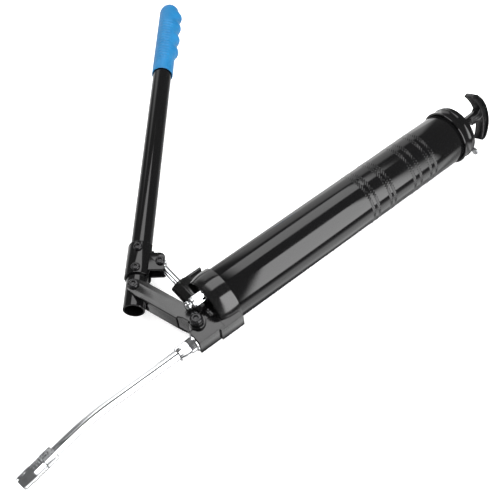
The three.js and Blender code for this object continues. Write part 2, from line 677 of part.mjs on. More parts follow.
function deliveryPipe() {
  const section = new THREE.Shape();
  section.absarc(0, 0, PIPE_R, 0, 2 * Math.PI, false);
  const bore = new THREE.Path();
  bore.absarc(0, 0, PIPE_BORE, 0, 2 * Math.PI, true);
  section.holes.push(bore);
  const g = new THREE.ExtrudeGeometry(section, {
    steps: 14,
    extrudePath: new PipePath(),
    curveSegments: 8,
    bevelEnabled: false,
  });
  const body = solid(g);
  return body.volume() < 0 ? solid(flipped(g)) : body;
}

piece('outlet_adapter', outletAdapter(), chrome());
piece('delivery_pipe', deliveryPipe(), chrome());

const coupler = new THREE.Group();
coupler.position.set(
  PIPE_BEND_START - PIPE_BEND_R * Math.sin(PIPE_BEND) - COUPLER_U * Math.cos(PIPE_BEND),
  PORT_Y - PIPE_BEND_R * (1 - Math.cos(PIPE_BEND)) - COUPLER_U * Math.sin(PIPE_BEND),
  0,
);
coupler.rotation.z = Math.PI + PIPE_BEND;
working.add(coupler);

const SLEEVE_START = COUPLER_HEX + GAP;
const JAW_START = 26.5;
const MOUTH_R = 3.3;

function couplerBody() {
  return without(
    joined(
      hexBar('x', 2 * PIPE_R + 4.2, 0, COUPLER_HEX, [0, 0], Math.PI / 6),
      bar('x', COUPLER_R - 1.9, COUPLER_HEX - 1, 22, [0, 0], COARSE),
    ),
    bar('x', PIPE_R + GAP, -5, 9.4, [0, 0], COARSE),
    bar('x', 1.8, 5, 30, [0, 0], COARSE),
  );
}

function couplerSleeve() {
  return turned('x', [
    [SLEEVE_START, COUPLER_R - 1.6],
    [SLEEVE_START, COUPLER_R - 0.4],
    [SLEEVE_START + 0.6, COUPLER_R],
    [COUPLER_LENGTH - 1.2, COUPLER_R],
    [COUPLER_LENGTH, COUPLER_R - 1],
    [COUPLER_LENGTH, 5.9],
    [COUPLER_LENGTH - 2, 5.9],
    [COUPLER_LENGTH - 3, 6.2],
    [23, 6.2],
    [22.5, COUPLER_R - 1.6],
    [SLEEVE_START, COUPLER_R - 1.6],
  ]);
}

function couplerJaw(index) {
  const whole = ring('x', MOUTH_R, 5.6, JAW_START, COUPLER_LENGTH - 0.2, [0, 0], 32);
  const slots = joined(
    block([JAW_START - 1, COUPLER_LENGTH + 1], [-7, 7], [-0.4, 0.4]),
    block([JAW_START - 1, COUPLER_LENGTH + 1], [-0.4, 0.4], [-7, 7]),
  );
  const y = index % 2 === 0 ? [0, 8] : [-8, 0];
  const z = index < 2 ? [0, 8] : [-8, 0];
  return without(whole, slots).intersect(block([JAW_START - 2, COUPLER_LENGTH + 2], y, z));
}

piece('coupler_body', couplerBody(), zinc(), coupler);
piece('coupler_sleeve', couplerSleeve(), chrome(), coupler);
piece('coupler_seal', ring('x', 1.4, 5.6, 22.4, JAW_START - GAP, [0, 0], COARSE), rubber(), coupler);
for (let i = 0; i < 4; i += 1) {
  piece(`coupler_jaw_${i + 1}`, couplerJaw(i), steel(), coupler);
}

// ---------------------------------------------------------------- whole gun
const gun = new THREE.Group();
gun.add(working);
working.updateMatrixWorld(true);
const size = new THREE.Box3().setFromObject(working, true);
const middle = size.getCenter(new THREE.Vector3());
working.position.set(-middle.x, -middle.y, -size.min.z);

export default gun;
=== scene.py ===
"""Looks of a lever-type grease gun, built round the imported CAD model.

Pieces are drawn in millimetres in the gun's working frame: X along the barrel from the pump head to the
pull handle, Y along the plunger towards the lever, Z up. Its zero is where plunger and barrel axes cross.
"""
import math

import bmesh
import bpy
from mathutils import Matrix, Vector


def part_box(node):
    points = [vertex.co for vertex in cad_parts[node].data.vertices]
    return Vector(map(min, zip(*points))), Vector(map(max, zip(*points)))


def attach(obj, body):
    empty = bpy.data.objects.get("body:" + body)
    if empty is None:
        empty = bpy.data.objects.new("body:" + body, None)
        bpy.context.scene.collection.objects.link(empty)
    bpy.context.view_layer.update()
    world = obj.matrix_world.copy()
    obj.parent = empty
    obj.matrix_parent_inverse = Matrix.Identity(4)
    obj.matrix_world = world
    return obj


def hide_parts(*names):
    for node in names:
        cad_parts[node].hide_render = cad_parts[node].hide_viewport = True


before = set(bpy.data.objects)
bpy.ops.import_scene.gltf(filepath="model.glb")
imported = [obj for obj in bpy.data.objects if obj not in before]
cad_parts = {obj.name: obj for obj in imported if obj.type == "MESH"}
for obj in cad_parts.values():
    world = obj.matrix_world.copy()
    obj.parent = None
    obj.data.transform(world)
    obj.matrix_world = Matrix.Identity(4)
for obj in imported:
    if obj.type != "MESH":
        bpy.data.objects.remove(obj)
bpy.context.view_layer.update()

MM = 0.001
PI = math.pi

# ---------------------------------------------------------------- sizes of the gun (mm)
BARREL_START, BARREL_END, BARREL_R = 13.0, 346.0, 28.5
LEVER_ANGLE = math.radians(50)
LEVER_OFFSET = 67.9
LEVER_R, LEVER_WALL, LEVER_LENGTH = 11.0, 1.6, 461.0
LINK_PIN_S = 21.5
PLUNGER_PIN = Vector((0, 70, 0))
SCREW_S = (42.8, 67.8)
CLAMP_START, CLAMP_END, CLAMP_R = 37.0, 76.0, 13.6
EAR_LOW, EAR_HIGH = 5.0, 7.6
GRIP_START, GRIP_END, GRIP_R = 339.0, 469.5, 13.0
RIDGES = (380.8, 403.8, 427.0, 447.5)
LINK_PIVOT = Vector((-15.8, -13.6, 0))
LINK_LOW, LINK_HIGH = 11.4, 14.0
LINK_HALF, LINK_LEAN, LINK_WEB, LINK_SLANT = 9.1, 3.6, 17.6, 4.6
PORT_Y, ADAPTER_FLATS = -25.0, 14
PIPE_R, PIPE_BEND_START, PIPE_BEND_R = 5.1, -125.0, 250.0
PIPE_BEND = math.radians(9.2)
COUPLER_U, COUPLER_HEX, COUPLER_LENGTH, COUPLER_R, COUPLER_FLATS = 23.2, 12.4, 38.6, 7.3, 14.4
BLEED_Z, BLEED_FLATS = 20.5, 11
CAP_LIP, CAP_REAR = 335.3, 352.2
HANDLE_TURN = math.radians(64.6)
LOCK_TURN = math.radians(199)

# ---------------------------------------------------------------- frames
tube_low, tube_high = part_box("barrel_tube")
ORIGIN = Vector((
    tube_low.x - BARREL_START * MM,
    (tube_low.y + tube_high.y) / 2,
    (tube_low.z + tube_high.z) / 2,
))

ALONG_X = Matrix.Identity(4)
ALONG_Y = Matrix.Rotation(PI / 2, 4, "Z")
ALONG_Z = Matrix.Rotation(-PI / 2, 4, "Y")


def at(x, y, z):
    return Matrix.Translation((x, y, z))


lever_foot = Vector((-math.sin(LEVER_ANGLE), math.cos(LEVER_ANGLE), 0)) * LEVER_OFFSET
LEVER = at(*lever_foot) @ Matrix.Rotation(LEVER_ANGLE, 4, "Z")
link_vector = LEVER @ Vector((LINK_PIN_S, 0, 0)) - LINK_PIVOT
LINK_LENGTH = link_vector.length
LINK_ANGLE = math.atan2(link_vector.y, link_vector.x)
LINK = at(*LINK_PIVOT) @ Matrix.Rotation(LINK_ANGLE, 4, "Z")
coupler_start = Vector((
    PIPE_BEND_START - PIPE_BEND_R * math.sin(PIPE_BEND) - COUPLER_U * math.cos(PIPE_BEND),
    PORT_Y - PIPE_BEND_R * (1 - math.cos(PIPE_BEND)) - COUPLER_U * math.sin(PIPE_BEND),
    0,
))
COUPLER = at(*coupler_start) @ Matrix.Rotation(PI + PIPE_BEND, 4, "Z")
HANDLE = Matrix.Rotation(HANDLE_TURN, 4, "X")
LOCK = Matrix.Rotation(LOCK_TURN, 4, "X")


# ---------------------------------------------------------------- shapes
def smoothstep(low, high, value):
    t = min(max((value - low) / (high - low), 0), 1)
    return t * t * (3 - 2 * t)


def lathe(profile, sides=96, place=ALONG_X):
    """A turned body about local X. The profile is [distance, radius], the radius a number or a function of
    the angle. It starts and ends on the axis, or closes on itself."""
    closed = profile[0] == profile[-1]
    rings = profile[:-1] if closed else profile
    verts, faces, rows = [], [], []
    for h, r in rings:
        if not callable(r) and r < 1e-6:
            rows.append([len(verts)])
            verts.append(place @ Vector((h, 0, 0)))
            continue
        rows.append(list(range(len(verts), len(verts) + sides)))
        for i in range(sides):
            a = 2 * PI * i / sides
            radius = r(a) if callable(r) else r
            verts.append(place @ Vector((h, radius * math.cos(a), radius * math.sin(a))))
    pairs = list(zip(rows, rows[1:])) + ([(rows[-1], rows[0])] if closed else [])
    for low, high in pairs:
        for i in range(sides):
            j = (i + 1) % sides
            if len(low) == 1:
                faces.append((low[0], high[i], high[j]))
            elif len(high) == 1:
                faces.append((low[i], high[0], low[j]))
            else:
                faces.append((low[i], high[i], high[j], low[j]))
    return verts, faces


def hexagon(flats, turn=0.0, limit=None):
    """Radius of a hexagon at an angle; limit rounds its corners off as a turned chamfer does."""
    def radius(a):
        r = flats / 2 / math.cos((a + turn) % (PI / 3) - PI / 6)
        return min(r, limit) if limit else r
    return radius


def from_object(obj, place):
    """Takes the finished mesh of a scratch object and removes the object."""
    bpy.context.collection.objects.link(obj)
    bpy.context.view_layer.update()
    mesh = bpy.data.meshes.new_from_object(obj.evaluated_get(bpy.context.evaluated_depsgraph_get()))
    verts = [place @ v.co for v in mesh.vertices]
    faces = [tuple(p.vertices) for p in mesh.polygons]
    bpy.data.objects.remove(obj)
    bpy.data.meshes.remove(mesh)
    return verts, faces


def plate(outline, low, high, edge=0.3, holes=(), place=ALONG_X):
    """A flat plate with rounded edges from an outline in XY, with holes."""
    curve = bpy.data.curves.new("outline", "CURVE")
    curve.dimensions = "2D"
    curve.fill_mode = "BOTH"
    curve.extrude = (high - low) / 2 - edge
    curve.bevel_depth = edge
    curve.bevel_resolution = 3
    curve.offset = -edge
    for loop in (outline, *holes):
        spline = curve.splines.new("POLY")
        spline.points.add(len(loop) - 1)
        for point, (x, y) in zip(spline.points, loop):
            point.co = (x, y, 0, 1)
        spline.use_cyclic_u = True
    return from_object(bpy.data.objects.new("outline", curve), place @ at(0, 0, (low + high) / 2))


def arc(cx, cy, r, start, end, steps=16):
    """Points of an arc, in degrees."""
    turn = [math.radians(start + (end - start) * i / steps) for i in range(steps + 1)]
    return [(cx + r * math.cos(a), cy + r * math.sin(a)) for a in turn]


def circle(cx, cy, r):
    steps = 40
    return arc(cx, cy, r, 0, 360 * (1 - 1 / steps), steps - 1)


def block(low, high, edge):
    """A box with rounded edges."""
    low, high = Vector(low), Vector(high)
    bm = bmesh.new()
    bmesh.ops.create_cube(bm, size=1)
    bmesh.ops.scale(bm, vec=high - low, verts=bm.verts)
    bmesh.ops.translate(bm, vec=(low + high) / 2, verts=bm.verts)
    bmesh.ops.bevel(bm, geom=bm.edges[:], offset=edge, segments=3, profile=0.5, affect="EDGES")
    bm.verts.index_update()
    verts = [v.co.copy() for v in bm.verts]
    faces = [tuple(v.index for v in f.verts) for f in bm.faces]
    bm.free()
    return verts, faces


def sweep(points, section):
    """A closed section carried along a path; the section is a list of (side, up) points."""
    points = [Vector(p) for p in points]
    verts, faces, count = [], [], len(section)
    for i, p in enumerate(points):
        ahead = (points[min(i + 1, len(points) - 1)] - points[max(i - 1, 0)]).normalized()
        if i == 0:
            side = ahead.orthogonal().normalized()
        side = (side - ahead * side.dot(ahead)).normalized()
        up = ahead.cross(side)
        verts += [p + side * u + up * v for u, v in section]
    for i in range(len(points) - 1):
        for j in range(count):
            k = (j + 1) % count
            faces.append((i * count + j, i * count + k, (i + 1) * count + k, (i + 1) * count + j))
    last = (len(points) - 1) * count
    faces.append(tuple(range(count)))
    faces.append(tuple(last + j for j in range(count)))
    return verts, faces


def piece(name, parts, material, body, *nodes, slot=None, crease=32):
    """One visible piece from closed parts in the working frame, on its body, in place of CAD nodes."""
    bm = bmesh.new()
    for verts, faces in parts:
        made = [bm.verts.new(ORIGIN + v * MM) for v in verts]
        for face in faces:
            try:
                bm.faces.new([made[i] for i in face])
            except ValueError:
                continue
    bmesh.ops.remove_doubles(bm, verts=bm.verts, dist=2e-6)
    bmesh.ops.recalc_face_normals(bm, faces=bm.faces)
    for face in bm.faces:
        face.smooth = True
    for edge in bm.edges:
        edge.smooth = len(edge.link_faces) == 2 and edge.calc_face_angle(PI) < math.radians(crease)
    mesh = bpy.data.meshes.new(name)
    bm.to_mesh(mesh)
    bm.free()
    obj = bpy.data.objects.new(name, mesh)
    bpy.context.collection.objects.link(obj)
    mesh.materials.append(material)
    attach(obj, body)
    if nodes:
        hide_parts(*nodes)
    return obj


# ---------------------------------------------------------------- materials
def new_material(name, color, roughness, metallic=0.0):
    """A Principled material, with its node tree and its shader."""
    mat = bpy.data.materials.new(name)
    mat.use_nodes = True
    shader = mat.node_tree.nodes["Principled BSDF"]
    shader.inputs["Base Color"].default_value = (*color, 1)
    shader.inputs["Roughness"].default_value = roughness
    shader.inputs["Metallic"].default_value = metallic
    return mat, mat.node_tree, shader


def noise(tree, size_mm, detail=3.0, stretch=None):
    """Noise with features of about this size, in the piece's own coordinates."""
    place = tree.nodes.new("ShaderNodeTexCoord")
    node = tree.nodes.new("ShaderNodeTexNoise")
    node.inputs["Scale"].default_value = 1 / (size_mm * MM)
    node.inputs["Detail"].default_value = detail
    source = place.outputs["Object"]
    if stretch:
        mapping = tree.nodes.new("ShaderNodeMapping")
        mapping.inputs["Scale"].default_value = stretch
        tree.links.new(source, mapping.inputs["Vector"])
        source = mapping.outputs["Vector"]
    tree.links.new(source, node.inputs["Vector"])
    return node.outputs["Fac"]


def spread(tree, value, low, high, dark=0.35, light=0.65):
    """Maps a noise value between two results."""
    node = tree.nodes.new("ShaderNodeMapRange")
    node.inputs["From Min"].default_value = dark
    node.inputs["From Max"].default_value = light
    node.inputs["To Min"].default_value = low
    node.inputs["To Max"].default_value = high
    tree.links.new(value, node.inputs["Value"])
    return node.outputs["Result"]


def mixed(tree, factor, first, second):
    node = tree.nodes.new("ShaderNodeMix")
    node.data_type = "RGBA"
    node.inputs["A"].default_value = (*first, 1)
    node.inputs["B"].default_value = (*second, 1)
    tree.links.new(factor, node.inputs["Factor"])
    return node.outputs["Result"]


def tint(tree, shader, factor, first, second):
    """Base colour between two colours, by a value from 0 to 1."""
    tree.links.new(mixed(tree, factor, first, second), shader.inputs["Base Color"])


def bump(tree, shader, *layers):
    """Stacks bump layers, each a value, its depth in mm and its strength."""
    normal = None
    for value, depth, strength in layers:
        node = tree.nodes.new("ShaderNodeBump")
        node.inputs["Strength"].default_value = strength
        node.inputs["Distance"].default_value = depth * MM
        tree.links.new(value, node.inputs["Height"])
        if normal:
            tree.links.new(normal, node.inputs["Normal"])
        normal = node.outputs["Normal"]
    tree.links.new(normal, shader.inputs["Normal"])


def black_coat():
    """Gloss black powder coat: faint orange peel, handling haze and a little dust."""
    mat, tree, shader = new_material("black_coat", (0.003, 0.003, 0.0032), 0.14)
    haze = noise(tree, 34, 4)
    tree.links.new(spread(tree, haze, 0.07, 0.13), shader.inputs["Roughness"])
    dust = noise(tree, 0.7, 2)
    specks = spread(tree, dust, 0, 1, 0.72, 0.8)
    tint(tree, shader, specks, (0.003, 0.003, 0.0032), (0.014, 0.014, 0.014))
    bump(tree, shader, (noise(tree, 2.2, 1), 0.02, 0.35), (noise(tree, 0.35, 2), 0.004, 0.3))
    return mat


def black_paint_sheet():
    """The same coat on pressed sheet, a little duller and greyer on its flats."""
    mat, tree, shader = new_material("black_coat_sheet", (0.004, 0.004, 0.004), 0.3)
    tree.links.new(spread(tree, noise(tree, 12, 4), 0.14, 0.22), shader.inputs["Roughness"])
    shader.inputs["Specular IOR Level"].default_value = 0.72
    tint(tree, shader, spread(tree, noise(tree, 5, 5), 0, 1), (0.003, 0.003, 0.003), (0.006, 0.006, 0.006))
    bump(tree, shader, (noise(tree, 1.4, 2), 0.02, 0.4), (noise(tree, 0.3, 2), 0.006, 0.4))
    return mat


def cast_coat():
    """The coat over a casting: slightly uneven surface under the paint."""
    mat, tree, shader = new_material("black_coat_casting", (0.003, 0.003, 0.0032), 0.2)
    tree.links.new(spread(tree, noise(tree, 18, 4), 0.09, 0.16), shader.inputs["Roughness"])
    shader.inputs["Specular IOR Level"].default_value = 0.62
    patches = spread(tree, noise(tree, 3, 4), 0, 1)
    tint(tree, shader, patches, (0.0025, 0.0025, 0.0027), (0.005, 0.005, 0.005))
    bump(tree, shader, (noise(tree, 4.5, 2), 0.06, 0.35), (noise(tree, 0.6, 2), 0.008, 0.35))
    return mat


def black_plastic():
    """Moulded black plastic of the pull handle, fine spark-eroded grain."""
    mat, tree, shader = new_material("black_plastic", (0.003, 0.003, 0.0032), 0.3)
    tree.links.new(spread(tree, noise(tree, 9, 3), 0.15, 0.26), shader.inputs["Roughness"])
    bump(tree, shader, (noise(tree, 0.45, 3), 0.012, 0.5), (noise(tree, 6, 2), 0.05, 0.3))
    return mat


def black_oxide():
    """Blackened screws and nuts: dark, oily, with light worn patches."""
    mat, tree, shader = new_material("black_oxide", (0.012, 0.012, 0.013), 0.2, metallic=0.3)
    tree.links.new(spread(tree, noise(tree, 2.0, 4), 0.1, 0.24), shader.inputs["Roughness"])
    wear = spread(tree, noise(tree, 1.1, 5), 0, 1, 0.5, 0.8)
    tint(tree, shader, wear, (0.008, 0.008, 0.009), (0.04, 0.04, 0.04))
    bump(tree, shader, (noise(tree, 0.5, 3), 0.01, 0.4))
    return mat


def bright_chrome():
    """Bright plating with drawing marks along the piece and small blemishes."""
    mat, tree, shader = new_material("chrome", (0.82, 0.83, 0.84), 0.1, metallic=1.0)
    lines = noise(tree, 1.2, 3, stretch=(0.05, 1, 1))
    tree.links.new(spread(tree, lines, 0.07, 0.2), shader.inputs["Roughness"])
    tint(tree, shader, spread(tree, noise(tree, 7, 5), 0, 1), (0.86, 0.87, 0.88), (0.74, 0.75, 0.77))
    bump(tree, shader, (lines, 0.01, 0.25), (noise(tree, 3, 2), 0.02, 0.2))
    return mat


def bright_zinc():
    """Bright zinc plate on turned and stamped steel, softer than chrome."""
    mat, tree, shader = new_material("zinc", (0.66, 0.67, 0.68), 0.25, metallic=1.0)
    tree.links.new(spread(tree, noise(tree, 1.5, 4), 0.2, 0.36), shader.inputs["Roughness"])
    tint(tree, shader, spread(tree, noise(tree, 4, 5), 0, 1), (0.72, 0.73, 0.74), (0.5, 0.51, 0.53))
    bump(tree, shader, (noise(tree, 0.8, 3), 0.012, 0.35))
    return mat


def plain_steel():
    """Oiled steel of the hidden rod, springs and jaws."""
    mat, tree, shader = new_material("plain_steel", (0.4, 0.41, 0.42), 0.32, metallic=1.0)
    tree.links.new(spread(tree, noise(tree, 1.0, 4), 0.24, 0.45), shader.inputs["Roughness"])
    tint(tree, shader, spread(tree, noise(tree, 3, 5), 0, 1), (0.46, 0.47, 0.48), (0.3, 0.31, 0.32))
    bump(tree, shader, (noise(tree, 0.6, 3), 0.01, 0.4))
    return mat


def seal_rubber():
    """Black nitrile seals."""
    mat, tree, shader = new_material("rubber", (0.014, 0.014, 0.014), 0.7)
    tree.links.new(spread(tree, noise(tree, 2, 4), 0.6, 0.85), shader.inputs["Roughness"])
    bump(tree, shader, (noise(tree, 0.5, 3), 0.02, 0.5))
    return mat


def blue_vinyl():
    """Soft blue vinyl grip: satin, slightly uneven dip, small pits and a paler bloom."""
    mat, tree, shader = new_material("blue_vinyl", (0.009, 0.15, 0.34), 0.42)
    bloom = spread(tree, noise(tree, 14, 5), 0, 1)
    tint(tree, shader, bloom, (0.008, 0.138, 0.32), (0.014, 0.165, 0.37))
    tree.links.new(spread(tree, noise(tree, 3, 4), 0.36, 0.55), shader.inputs["Roughness"])
    shader.inputs["Subsurface Weight"].default_value = 0.12
    shader.inputs["Subsurface Radius"].default_value = (0.3, 0.6, 1.0)
    shader.inputs["Subsurface Scale"].default_value = 0.0015
    bump(tree, shader, (noise(tree, 0.5, 3), 0.02, 0.4), (noise(tree, 7, 2), 0.12, 0.3))
    return mat


COAT = black_coat()
SHEET = black_paint_sheet()
CAST = cast_coat()
PLASTIC = black_plastic()
OXIDE = black_oxide()
CHROME = bright_chrome()
ZINC = bright_zinc()
STEEL = plain_steel()
RUBBER = seal_rubber()
VINYL = blue_vinyl()


# ---------------------------------------------------------------- small repeated parts
def screw_head(radius, height, socket, base, place):
    """Button head with a hexagon socket; its seat is at base along local Z."""
    rim = [
        (base, 0),
        (base, radius - 0.25),
        (base + 0.15, radius),
        (base + height * 0.28, radius),
    ]
    dome = [
        (base + height * (0.28 + 0.72 * math.sin(t)), radius * (1 - 0.42 * (1 - math.cos(t))))
        for t in [PI / 2 * i / 8 for i in range(1, 9)]
    ]
    top = base + height
    hole = [
        (top, hexagon(socket + 0.5)),
        (top - 0.25, hexagon(socket)),
        (top - height * 0.62, hexagon(socket)),
        (top - height * 0.8, 0),
    ]
    return lathe(rim + dome + hole, 72, place @ ALONG_Z)


def shank(radius, low, high, place):
    profile = [(low, 0), (low, radius - 0.3), (low + 0.3, radius), (high, radius), (high, 0)]
    return lathe(profile, 48, place @ ALONG_Z)


def nut(flats, bore, low, high, place):
    """Hexagon nut with turned chamfers; its axis is local Z."""
    corner = flats / math.sqrt(3)
    return lathe([
        (low, bore),
        (low, flats / 2 - 0.2),
        (low + 0.7, hexagon(flats, 0, corner - 0.1)),
        (high - 0.7, hexagon(flats, 0, corner - 0.1)),
        (high, flats / 2 - 0.2),
        (high, bore),
        (low, bore),
    ], 96, place @ ALONG_Z)


# ---------------------------------------------------------------- pump head
BOSS_TOP = 6.5


def boss_outline():
    """Section of the pump housing: gently arched top and bottom, rounded on the lever side."""
    top = [(x, BOSS_TOP - (x - 2.5) ** 2 / 30) for x in [9 - 17.4 * i / 24 for i in range(25)]]
    side = [(-9.0, 1.9), (-9.45, 1.2), (-9.7, 0.5)]
    half = top + side
    return half + [(x, -z) for x, z in reversed(half)]


def head():
    dome = [(6.6, 0), (6.6, 25.2), (6.3, 25.6), (4.0, 26.9), (3.45, 27.2), (3.3, 27.6), (3.45, 28.0)]
    dome += [(4.0, 28.4), (4.8, 28.62), (6.4, 29.0), (8.0, 29.42), (9.7, 29.82), (11.5, 30.18)]
    dome += [(13.4, 30.48), (15.4, 30.7)]
    dome += [(17.4, 30.82), (19.4, 30.87), (24.9, 30.88), (25.4, 30.75), (25.7, 30.4), (25.8, 30.0)]
    dome += [(25.8, BARREL_R + 0.3), (14, BARREL_R + 0.3), (14, 0)]
    along = Matrix(((1, 0, 0, 0), (0, 0, 1, 0), (0, 1, 0, 0), (0, 0, 0, 1)))
    boss = plate(boss_outline(), -28, 35.6, 0.3, (), along)
    mouth = plate(boss_outline(), 34.6, 39.0, 0.5, [circle(0, 0, 5.6)], along)
    web = block((0, -33.2, -7.2), (12, 37.7, 7.2), 0.9)
    wing = block((-2, 36.1, -6), (26, 38.7, 6), 0.4)
    wing_root = block((4, 20, -5), (24.6, 37.7, 5), 0.8)
    keel = block((-4, -36.2, -8.4), (22.8, -18, 8.4), 0.5)
    outlet = block((-28, -34, -9), (2, -16.3, 9), 0.6)
    lug = lathe([
        (-11.1, 4.3), (-11.1, 8.2), (-10.7, 8.6), (10.7, 8.6), (11.1, 8.2), (11.1, 4.3), (-11.1, 4.3),
    ], 72, at(*LINK_PIVOT) @ ALONG_Z)
    lug_root = block((-15.8, -18, -7.6), (-1, -5.2, 7.6), 0.8)
    seat = lathe([(3.5, 0), (3.5, 6.9), (4, 7.4), (9, 7.4), (9, 0)], 64, at(0, 0, BLEED_Z))
    port = lathe([
        (-28.05, 6.6), (-28.05, 7.2), (-27.4, 7.2), (-20, 6.6), (-28.05, 6.6),
    ], 64, at(0, PORT_Y, 0))
    piece("pump_head", [
        lathe(dome, 144), boss, mouth, web, wing, wing_root, keel, outlet, lug, lug_root, seat, port,
    ], CAST, "gun", "head_casting", slot="black_coat")
    piece("plunger_gland", [lathe([
        (34.9, 4.4), (34.9, 5.4), (38.3, 5.4), (38.7, 5.0), (38.7, 4.8), (38.3, 4.4), (34.9, 4.4),
    ], 64, ALONG_Y)], RUBBER, "gun", "plunger_seal", slot="rubber")


def bleeder():
    place = at(0, 0, BLEED_Z)
    flats = hexagon(BLEED_FLATS, 0, 6.15)
    piece("bleeder_fitting", [lathe([
        (12, 0), (12, 3), (3.95, 3.1), (3.95, 5.3), (3.4, flats), (-7.9, flats),
        (-8.5, 5.4), (-9.9, 5.4), (-10.2, 5.1), (-10.2, 2.4), (-9, 2.3), (-2.2, 2.3), (-2.2, 0),
    ], 96, place)], CHROME, "gun", "bleeder_body", slot="chrome")
    knob = [(-17.9, 0), (-17.8, 1.4), (-17.3, 2.7), (-16.4, 3.8), (-15.3, 4.5), (-14.2, 4.8), (-13.2, 4.6),
            (-12.4, 4.0), (-11.9, 3.1), (-11.8, 2), (-3.95, 2), (-3.95, 0)]
    piece("bleeder_knob", [lathe(knob, 64, place)], CHROME, "bleeder_button", "bleeder_valve",
          slot="chrome")


# ---------------------------------------------------------------- barrel, cap, rod lock and pull handle
KNURL_BANDS = (202.5, 209.5, 226.5, 232.5, 261.5, 270.5, 285.0, 292.8)
KNURL_WIDTH = 3.8
KNURL_DEPTH = 0.2
KNURL_COUNT = 64


def knurl_radius(x, middle):
    """Radius of the barrel inside a band of slanting, rope-like knurling."""
    edge = smoothstep(KNURL_WIDTH / 2, KNURL_WIDTH / 2 - 0.7, abs(x - middle))

    def radius(a):
        slant = (x - middle) / BARREL_R
        return BARREL_R + KNURL_DEPTH * edge * math.sin(KNURL_COUNT * (a + slant))
    return radius


def barrel():
    outer = [(BARREL_START, BARREL_R - 1.5), (BARREL_START, BARREL_R - 0.2), (BARREL_START + 0.3, BARREL_R)]
    for middle in KNURL_BANDS:
        steps = 10
        outer.append((middle - KNURL_WIDTH / 2 - 0.3, BARREL_R))
        for i in range(steps + 1):
            x = middle - KNURL_WIDTH / 2 + KNURL_WIDTH * i / steps
            outer.append((x, knurl_radius(x, middle)))
        outer.append((middle + KNURL_WIDTH / 2 + 0.3, BARREL_R))
    outer += [(BARREL_END - 0.3, BARREL_R), (BARREL_END, BARREL_R - 0.2), (BARREL_END, BARREL_R - 1.5)]
    piece("barrel", [lathe(outer + [outer[0]], 900)], COAT, "gun", "barrel_tube", slot="black_coat",
          crease=50)


def cap():
    lip, rear = CAP_LIP, CAP_REAR
    profile = [
        (lip, BARREL_R + 0.35), (lip, 30.2), (lip + 0.15, 30.6), (lip + 0.6, 30.8), (lip + 1.8, 30.8),
        (lip + 2.4, 30.6), (lip + 2.7, 30.1), (lip + 3.1, 29.9), (lip + 10.2, 29.75), (lip + 10.6, 29.9),
        (lip + 10.9, 30.15), (lip + 11.6, 30.2), (lip + 12.2, 30.1), (lip + 12.5, 29.7), (lip + 13, 29.6),
        (rear - 1.5, 29.5), (rear - 0.7, 29.3), (rear - 0.2, 28.8), (rear, 28.1), (rear, 20),
        (rear - 0.5, 19.2), (rear - 0.5, 9.5),
        (rear, 8.8), (rear, 4.9), (rear - 0.3, 4.6), (rear - 2, 4.6), (rear - 2, 27),
        (BARREL_END + 0.3, 27), (BARREL_END + 0.3, BARREL_R + 0.35), (lip, BARREL_R + 0.35),
    ]
    piece("barrel_cap", [lathe(profile, 144)], COAT, "gun", "end_cap", slot="black_coat")


def rod_lock():
    low, high = CAP_REAR + 0.35, CAP_REAR + 2.0
    neck, half = 2.4, 6.0
    strip = [(-13, -half + 1), (-12, -half), (20, -half), (23, -neck - 0.8), (26, -neck)]
    tab = arc(31.4, 0, 4.4, -146, 146, 24)
    outline = strip + tab + [(x, -y) for x, y in reversed(strip)]
    upright = LOCK @ Matrix(((0, 0, 1, 0), (1, 0, 0, 0), (0, 1, 0, 0), (0, 0, 0, 1)))
    piece("rod_release", [plate(outline, low, high, 0.3, [circle(0, 0, 4.7)], upright)], ZINC, "rod_lock",
          "rod_lock", slot="zinc")


def pull_handle():
    tip = 27.8
    inner = [(389.8 - 8.9 * (t * t) ** 1.1, t * (tip - 1.6)) for t in [-1 + i / 12 for i in range(25)]]
    outer = [(399.5 - 11.5 * abs(t) ** 2.3, t * tip) for t in [1 - i / 14 for i in range(29)]]
    end = [(381.2, tip - 0.9), (383.2, tip + 0.2), (386, tip + 0.25)]
    outline = inner + end + outer[1:-1] + [(x, -y) for x, y in reversed(end)]

    def inset(points, amount):
        result = []
        count = len(points)
        for i in range(count):
            ax, ay = points[i - 1]
            bx, by = points[(i + 1) % count]
            dx, dy = bx - ax, by - ay
            size = math.hypot(dx, dy)
            x, y = points[i]
            result.append((x + dy / size * amount, y - dx / size * amount))
        return result

    side = HANDLE
    half = 6.0
    core = plate(outline, -half + 1.5, half - 1.5, 0.4, (), side)
    rims = [plate(outline, low, high, 0.5, [inset(outline, 1.9)], side) for low, high in
            ((half - 2.2, half), (-half, -half + 2.2))]
    flare = [(374, -4.2), (385, -4.6), (390, -9), (396, -10), (397.6, 0)]
    flare += [(x, -y) for x, y in reversed(flare[:-1])]
    ribs = plate(flare, -half + 0.7, half - 0.7, 0.6, (), side)
    hub = lathe([
        (357, 0), (357, 4.4), (357.4, 4.9), (362, 5.1), (374, 5.2), (381, 5.6), (386, 6.4), (390, 6.0),
        (391, 0),
    ], 72, side)
    piece("pull_handle", [core, *rims, ribs, hub], PLASTIC, "pull_rod", "t_handle", slot="black_plastic")


# ---------------------------------------------------------------- plunger and lever
def plunger():
    pin = PLUNGER_PIN.y
    rod = lathe([(15, 0), (15, 3.4), (15.6, 4), (pin - 4, 4), (pin - 4, 0)], 64, ALONG_Y)
    eye = lathe([
        (-4.7, 3.3), (-4.7, 5.3), (-4.3, 5.7), (4.3, 5.7), (4.7, 5.3), (4.7, 3.3), (-4.7, 3.3),
    ], 64, at(*PLUNGER_PIN) @ ALONG_Z)
    piece("plunger", [rod, eye], CHROME, "plunger", "plunger_rod", slot="chrome")


